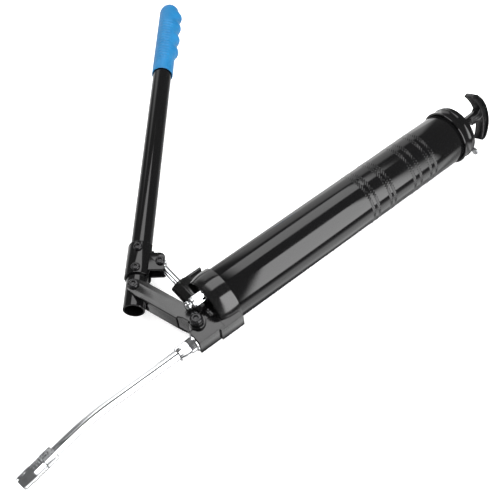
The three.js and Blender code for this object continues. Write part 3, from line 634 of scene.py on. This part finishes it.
def lever():
    wall = LEVER_R - LEVER_WALL
    piece("lever_shaft", [lathe([
        (0, wall), (0, LEVER_R - 0.35), (0.35, LEVER_R), (LEVER_LENGTH, LEVER_R), (LEVER_LENGTH, wall),
        (0, wall),
    ], 96, LEVER)], COAT, "lever", "lever_tube", slot="black_coat")


def clamp():
    """Sheet wrapped round the tube, open on the ear side, its two ends bent out as ears."""
    inner, outer = LEVER_R + 0.3, CLAMP_R
    gap = math.asin(EAR_LOW / inner)
    wide = math.asin(EAR_LOW / outer)
    start, end = CLAMP_START, CLAMP_END
    steps = 72

    def ring(radius, cut):
        turn = [PI + cut + (2 * PI - 2 * cut) * i / steps for i in range(steps + 1)]
        return [(radius * math.cos(a), radius * math.sin(a)) for a in turn]

    outline = ring(outer, wide) + list(reversed(ring(inner, gap)))
    upright = LEVER @ Matrix(((0, 0, 1, 0), (1, 0, 0, 0), (0, 1, 0, 0), (0, 0, 0, 1)))
    sleeve = plate(outline, start, end, 0.35, (), upright)
    low, high, reach = 43.5, 64.6, -27.3
    pin = LEVER.inverted() @ PLUNGER_PIN
    ear = [(low, -6), (low, reach + 2.5)] + arc(low + 2.5, reach + 2.5, 2.5, 180, 270, 8)
    ear += arc(high - 6, reach + 6, 6, 270, 360, 12) + [(high, -6)]
    ears = [plate(ear, z0, z1, 0.35, [circle(pin.x, pin.y, 3.2)], LEVER)
            for z0, z1 in ((EAR_LOW, EAR_HIGH), (-EAR_HIGH, -EAR_LOW))]
    piece("lever_bracket", [sleeve, *ears], COAT, "lever", "lever_clamp", slot="black_coat")
    for name, s in zip(("lower", "upper"), SCREW_S):
        spot = LEVER @ at(s, 0, 0)
        parts = [screw_head(4.6, 2.6, 3, CLAMP_R + 0.1, spot), shank(2, 7.5, 14, spot)]
        piece(f"bracket_screw_{name}", parts, OXIDE, "lever", f"clamp_screw_{name}", slot="black_oxide")
    spot = at(*PLUNGER_PIN)
    piece("plunger_pivot", [screw_head(4.9, 2.8, 4, EAR_HIGH + 0.3, spot), shank(3, -11, 8.2, spot)], OXIDE,
          "lever", "plunger_pin", slot="black_oxide")
    piece("plunger_pivot_nut", [nut(10, 3.3, -11.9, -7.9, spot)], OXIDE, "lever", "plunger_pin_nut",
          slot="black_oxide")


RIB_START, RIB_END, RIB_PITCH = 356.0, 432.0, 5.2


def grip():
    def finger(s):
        """How far the finger side stands out of the round grip."""
        ridge = max(math.exp(-abs((s - r) / 6.6) ** 2.1) for r in RIDGES)
        starts = smoothstep(RIDGES[0] - 13, RIDGES[0] - 3, s)
        ends = smoothstep(RIDGES[-1] + 1, RIDGES[-1] + 11, s)
        return starts * (1 - ends) * (1.2 + 2.9 * ridge)

    def dome(s):
        left = GRIP_END - s
        depth = 15.0
        if left >= depth:
            return 1.0
        return math.sqrt(max(1 - ((depth - left) / depth) ** 2, 0))

    def ring(s):
        rib = 0.0
        if RIB_START < s < RIB_END:
            rib = max(math.cos(2 * PI * (s - RIB_START) / RIB_PITCH), 0)

        def radius(a):
            side = max(math.cos(a - PI), 0) ** 3
            patch = smoothstep(0.62, 0.42, abs((a - PI / 2 - 0.15 + PI) % (2 * PI) - PI))
            return (GRIP_R - 0.35 + finger(s) * side) * dome(s) + 0.45 * rib * patch
        return radius

    count = 260
    outer = [GRIP_START + 0.8 + (GRIP_END - 0.02 - GRIP_START - 0.8) * i / count for i in range(count + 1)]
    inner = LEVER_R + 0.35
    profile = [(LEVER_LENGTH + 0.4, 0), (LEVER_LENGTH + 0.4, inner), (GRIP_START + 1, inner)]
    profile += [(GRIP_START + 0.2, inner + 0.5), (GRIP_START, inner + 0.9)]
    profile += [(GRIP_START + 0.2, GRIP_R - 0.6)]
    profile += [(s, ring(s)) for s in outer] + [(GRIP_END, 0)]
    piece("grip", [lathe(profile, 144, LEVER)], VINYL, "lever", "lever_grip", slot="blue_vinyl", crease=60)


# ---------------------------------------------------------------- link
def link():
    tip, tail = 7.0, 6.7
    neck = tail * math.sqrt(0.5)
    hook = [(LINK_WEB, LINK_HALF), (LINK_WEB, LINK_HALF - 2.6), (LINK_WEB - 4.3, neck + 0.3)]
    outline = [(16, -LINK_HALF), (LINK_LENGTH - 10, -LINK_HALF)]
    outline += arc(LINK_LENGTH, 0, tip, -78, 78, 24) + [(LINK_LENGTH - 9, LINK_HALF)]
    outline += hook + arc(0, 0, tail, 45, 270, 28)
    lower_half = LINK_HALF - LINK_LEAN
    lower = [(x, min(y, lower_half) if 9 < x < LINK_LENGTH - 8 else y) for x, y in outline]
    holes = [circle(0, 0, 4.3), circle(LINK_LENGTH, 0, 3.8)]
    upper_plate = plate(outline, LINK_LOW, LINK_HIGH, 0.35, holes, LINK)
    lower_plate = plate(lower, -LINK_HIGH, -LINK_LOW, 0.35, holes, LINK)
    # the web leans in towards its lower edge; its end at the tube is cut round
    height = 2 * LINK_HIGH
    lean = math.atan2(LINK_LEAN, height)
    length = height / math.cos(lean)
    near = LINK_LENGTH - 15
    bite = [(near - 6.5 * math.sin(PI * t) ** 0.6, length * t) for t in [i / 20 for i in range(21)]]
    web = [(LINK_WEB + LINK_SLANT, 0)] + bite + [(LINK_WEB, length)]
    stand = Matrix(((1, 0, 0, 0), (0, math.sin(lean), -math.cos(lean), LINK_HALF - LINK_LEAN),
                    (0, math.cos(lean), math.sin(lean), -LINK_HIGH), (0, 0, 0, 1)))
    web_plate = plate(web, 0, 2.4, 0.35, (), LINK @ stand)
    piece("link", [upper_plate, lower_plate, web_plate], SHEET, "link", "link_channel", slot="black_coat")
    spot = LINK @ at(LINK_LENGTH, 0, 0)
    pin = [screw_head(5.7, 3, 4.5, LINK_HIGH + 0.3, spot), shank(3.5, -18.4, 15, spot)]
    piece("link_pin", pin, OXIDE, "link", "link_lever_pin", slot="black_oxide")
    piece("link_pin_nut", [nut(11, 3.8, -19.2, -14.3, spot)], OXIDE, "link", "link_lever_nut",
          slot="black_oxide")
    spot = at(*LINK_PIVOT)
    bolt = [screw_head(6.4, 3.6, 5, LINK_HIGH + 0.3, spot), shank(4, -19.2, 15, spot)]
    piece("link_bolt", bolt, OXIDE, "gun", "link_head_bolt", slot="black_oxide")
    piece("link_bolt_nut", [nut(13, 4.3, -20.2, -14.3, spot)], OXIDE, "gun", "link_head_nut",
          slot="black_oxide")


# ---------------------------------------------------------------- outlet, pipe and coupler
def outlet():
    place = at(0, PORT_Y, 0)
    flats = hexagon(ADAPTER_FLATS, 0, ADAPTER_FLATS / math.sqrt(3) - 0.25)
    piece("pipe_adapter", [lathe([
        (-28.3, 0), (-28.3, 8.4), (-28.5, 8.8), (-29.2, 8.8), (-29.6, 8.5), (-30.4, 7.6), (-31, 7.35),
        (-35.6, 7.35), (-36.2, 7.0), (-36.2, 7.1), (-36.8, flats), (-47.7, flats),
        (-48.5, 6.7), (-48.5, 5.6), (-48.1, 5.4), (-40, 5.4), (-40, 0),
    ], 96, place)], CHROME, "gun", "outlet_adapter", slot="chrome")


def pipe():
    points = [(-38.6 + (PIPE_BEND_START + 38.6) * i / 6, PORT_Y, 0) for i in range(6)]
    points += [(PIPE_BEND_START - PIPE_BEND_R * math.sin(t), PORT_Y - PIPE_BEND_R * (1 - math.cos(t)), 0)
               for t in [PIPE_BEND * i / 16 for i in range(17)]]
    reach = COUPLER_U + 8.8
    end_x, end_y = points[-1][:2]
    points += [(end_x - reach * k * math.cos(PIPE_BEND), end_y - reach * k * math.sin(PIPE_BEND), 0)
               for k in (0.5, 1)]
    section = [(PIPE_R * math.cos(2 * PI * i / 64), PIPE_R * math.sin(2 * PI * i / 64)) for i in range(64)]
    piece("pipe", [sweep(points, section)], CHROME, "gun", "delivery_pipe", slot="chrome")


def coupler():
    flats = hexagon(COUPLER_FLATS, 0, COUPLER_FLATS / math.sqrt(3) - 0.2)
    piece("coupler_hex", [lathe([
        (0, 5.5), (0, 6.6), (0.7, flats), (COUPLER_HEX - 0.7, flats),
        (COUPLER_HEX, 6.8), (COUPLER_HEX, 5.4), (22, 5.4), (22, 1.8), (9.4, 1.8), (9.4, 5.5), (0, 5.5),
    ], 96, COUPLER)], ZINC, "gun", "coupler_body", slot="zinc")
    start = COUPLER_HEX + 0.3
    grooves = []
    for middle in (16.2, 19.4, 22.6):
        grooves += [(middle - 0.8, COUPLER_R), (middle - 0.45, COUPLER_R - 0.5)]
        grooves += [(middle + 0.45, COUPLER_R - 0.5), (middle + 0.8, COUPLER_R)]
    end = COUPLER_LENGTH
    sleeve = [(start, 5.7), (start, COUPLER_R - 0.5), (start + 0.5, COUPLER_R)] + grooves + [
        (end - 9, COUPLER_R), (end - 8.6, COUPLER_R - 0.25), (end - 2.6, COUPLER_R - 0.25),
        (end - 1.0, COUPLER_R - 0.8), (end - 0.1, COUPLER_R - 1.1), (end, 6.0), (end - 0.4, 5.9),
        (end - 2, 5.9), (end - 3, 6.2), (23, 6.2),
        (22.5, 5.7), (start, 5.7)]
    piece("coupler_barrel", [lathe(sleeve, 96, COUPLER)], CHROME, "gun", "coupler_sleeve", slot="chrome")
    for index in range(4):
        first = (0, 90, 180, 270)[(0, 1, 3, 2)[index]]
        outline = arc(0, 0, 5.6, first + 5, first + 85, 14) + arc(0, 0, 3.3, first + 82, first + 8, 10)
        upright = COUPLER @ Matrix(((0, 0, 1, 0), (1, 0, 0, 0), (0, 1, 0, 0), (0, 0, 0, 1)))
        jaw = plate(outline, 26.5, COUPLER_LENGTH - 0.2, 0.3, (), upright)
        piece(f"coupler_grip_jaw_{index + 1}", [jaw], STEEL, "gun", f"coupler_jaw_{index + 1}",
              slot="plain_steel")


# ---------------------------------------------------------------- hidden pieces keep their CAD shape
def dress_hidden():
    looks = {
        "head_gasket": RUBBER, "check_ball": STEEL, "check_spring": STEEL, "follower_seal": RUBBER,
        "follower_plate": STEEL, "follower_nut": STEEL, "follower_spring": STEEL, "follower_rod": STEEL,
        "coupler_seal": RUBBER,
    }
    for node, material in looks.items():
        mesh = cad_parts[node].data
        mesh.materials.clear()
        mesh.materials.append(material)


head()
bleeder()
barrel()
cap()
rod_lock()
pull_handle()
plunger()
lever()
clamp()
grip()
link()
outlet()
pipe()
coupler()
dress_hidden()


# ---------------------------------------------------------------- studio
def row(x, y, z):
    return ORIGIN + Vector((x, y, z)) * MM


def floor():
    size = 4.0
    mesh = bpy.data.meshes.new("floor")
    corners = [(-size, -size, 0), (size, -size, 0), (size, size, 0), (-size, size, 0)]
    mesh.from_pydata(corners, [], [(0, 1, 2, 3)])
    obj = bpy.data.objects.new("floor", mesh)
    bpy.context.collection.objects.link(obj)
    mat, tree, shader = new_material("floor", (0.88, 0.88, 0.88), 0.9)
    tint(tree, shader, noise(tree, 400, 2), (0.87, 0.87, 0.87), (0.9, 0.9, 0.9))
    shader.inputs["Emission Color"].default_value = (1, 1, 1, 1)
    shader.inputs["Emission Strength"].default_value = 0.55
    mesh.materials.append(mat)
    obj.visible_glossy = False


def window(tree, value, low, high, soft):
    """0 outside low and high, rising to 1 over the soft width inside either end."""
    rise = tree.nodes.new("ShaderNodeMapRange")
    fall = tree.nodes.new("ShaderNodeMapRange")
    both = tree.nodes.new("ShaderNodeMath")
    both.operation = "MULTIPLY"
    for node, start, end in ((rise, low, low + soft[0]), (fall, high, high - soft[1])):
        node.interpolation_type = "SMOOTHSTEP"
        node.inputs["From Min"].default_value = start
        node.inputs["From Max"].default_value = end
        tree.links.new(value, node.inputs["Value"])
    tree.links.new(rise.outputs["Result"], both.inputs[0])
    tree.links.new(fall.outputs["Result"], both.inputs[1])
    return both.outputs[0]


def maths(tree, operation, first, second=None):
    node = tree.nodes.new("ShaderNodeMath")
    node.operation = operation
    for socket, value in zip(node.inputs, (first, second)):
        if isinstance(value, (int, float)):
            socket.default_value = value
        elif value is not None:
            tree.links.new(value, socket)
    return node.outputs[0]


def facing(direction):
    return Vector(direction).to_track_quat("Z", "Y")


def softbox(name, centre, direction, width, height, radiance, sides, ends):
    """A glowing card in mm of the working frame; sides and ends are the widths of its soft edges."""
    mesh = bpy.data.meshes.new(name)
    w, h = width / 2 * MM, height / 2 * MM
    mesh.from_pydata([(-w, -h, 0), (w, -h, 0), (w, h, 0), (-w, h, 0)], [], [(0, 1, 2, 3)])
    obj = bpy.data.objects.new(name, mesh)
    bpy.context.collection.objects.link(obj)
    obj.location = row(*centre)
    obj.rotation_mode = "QUATERNION"
    obj.rotation_quaternion = facing(direction)
    mat = bpy.data.materials.new(name)
    mat.use_nodes = True
    tree = mat.node_tree
    tree.nodes.clear()
    place = tree.nodes.new("ShaderNodeTexCoord")
    split = tree.nodes.new("ShaderNodeSeparateXYZ")
    tree.links.new(place.outputs["Object"], split.inputs[0])
    across = window(tree, split.outputs["X"], -w, w, [side * MM for side in sides])
    upward = window(tree, split.outputs["Y"], -h, h, [end * MM for end in ends])
    glow = tree.nodes.new("ShaderNodeEmission")
    strength = maths(tree, "MULTIPLY", maths(tree, "MULTIPLY", across, upward), radiance)
    tree.links.new(strength, glow.inputs["Strength"])
    out = tree.nodes.new("ShaderNodeOutputMaterial")
    tree.links.new(glow.outputs[0], out.inputs["Surface"])
    mesh.materials.append(mat)
    obj.visible_camera = False
    obj.visible_shadow = False
    return obj


# what the gloss sees round the softboxes, by direction in degrees: azimuth from +X towards +Y, elevation
SURROUNDINGS = (
    # azimuth low and high, its soft edge, elevation low and high, its soft edge, radiance
    (42, 94, 10, -20, 40, 10, 1.0),        # pale wall behind
    (-180, 180, 10, -71, -12, 16, 0.35),   # table all round
    (-111, -29, 16, -69, -14, 14, 1.5),    # lit table in front
    (24, 146, 16, -62, 2, 12, 0.7),        # lit table behind
)
ROOM = 0.14

CAMERA_AZIMUTH, CAMERA_ELEVATION, CAMERA_ROLL = (math.radians(a) for a in (-33.19, 53.16, -7.11))
CAMERA_TARGET = (79.05, 24.79, 0)
CAMERA_DISTANCE = 847.15
FOCAL_RATIO = 832.74 / 500             # focal length over sensor width


def surroundings():
    world = bpy.data.worlds.new("studio")
    bpy.context.scene.world = world
    world.use_nodes = True
    tree = world.node_tree
    place = tree.nodes.new("ShaderNodeTexCoord")
    split = tree.nodes.new("ShaderNodeSeparateXYZ")
    tree.links.new(place.outputs["Generated"], split.inputs[0])
    x, y, z = (split.outputs[axis] for axis in "XYZ")
    azimuth = maths(tree, "DEGREES", maths(tree, "ARCTAN2", y, x))
    elevation = maths(tree, "DEGREES", maths(tree, "ARCSINE", z))
    total = ROOM
    for az_low, az_high, az_soft, el_low, el_high, el_soft, radiance in SURROUNDINGS:
        panel = maths(tree, "MULTIPLY", window(tree, azimuth, az_low, az_high, (az_soft, az_soft)),
                      window(tree, elevation, el_low, el_high, (el_soft, el_soft)))
        total = maths(tree, "ADD", maths(tree, "MULTIPLY", panel, radiance), total)
    background = tree.nodes["Background"]
    background.inputs["Color"].default_value = (1, 1, 1, 1)
    tree.links.new(total, background.inputs["Strength"])


def fill_light():
    """Large overhead light that lifts the floor to white and is not seen in reflections."""
    data = bpy.data.lights.new("overhead", "AREA")
    data.shape = "SQUARE"
    data.size = 2.6
    data.energy = 55
    obj = bpy.data.objects.new("overhead", data)
    bpy.context.collection.objects.link(obj)
    obj.location = row(100, 0, 1900)
    obj.visible_glossy = False


def camera():
    azimuth, elevation, roll = CAMERA_AZIMUTH, CAMERA_ELEVATION, CAMERA_ROLL
    back = Vector((
        math.sin(azimuth) * math.cos(elevation),
        -math.cos(azimuth) * math.cos(elevation),
        math.sin(elevation),
    ))
    right = Vector((math.cos(azimuth), math.sin(azimuth), 0))
    up = right.cross(-back)
    side = right * math.cos(roll) + up * math.sin(roll)
    top = up * math.cos(roll) - right * math.sin(roll)
    data = bpy.data.cameras.new("camera")
    data.sensor_width = 36
    data.lens = data.sensor_width * FOCAL_RATIO
    obj = bpy.data.objects.new("camera", data)
    bpy.context.collection.objects.link(obj)
    turn = Matrix((side, top, back)).transposed()
    place = row(*CAMERA_TARGET) + back * CAMERA_DISTANCE * MM
    obj.matrix_world = Matrix.Translation(place) @ turn.to_4x4()
    bpy.context.scene.camera = obj


floor()
softbox("front_box", (370, -700, 560), (0, 1, 0), 960, 1240, 5.4, (230, 90), (60, 120))
softbox("top_box", (275, 335, 700), (0, 0, -1), 800, 600, 3.1, (90, 90), (60, 60))
softbox("left_box", (-660, 447, 300), (0.83, -0.56, -0.3), 300, 260, 9.0, (90, 90), (80, 80))
surroundings()
fill_light()
camera()
bpy.context.scene.view_settings.view_transform = "Standard"
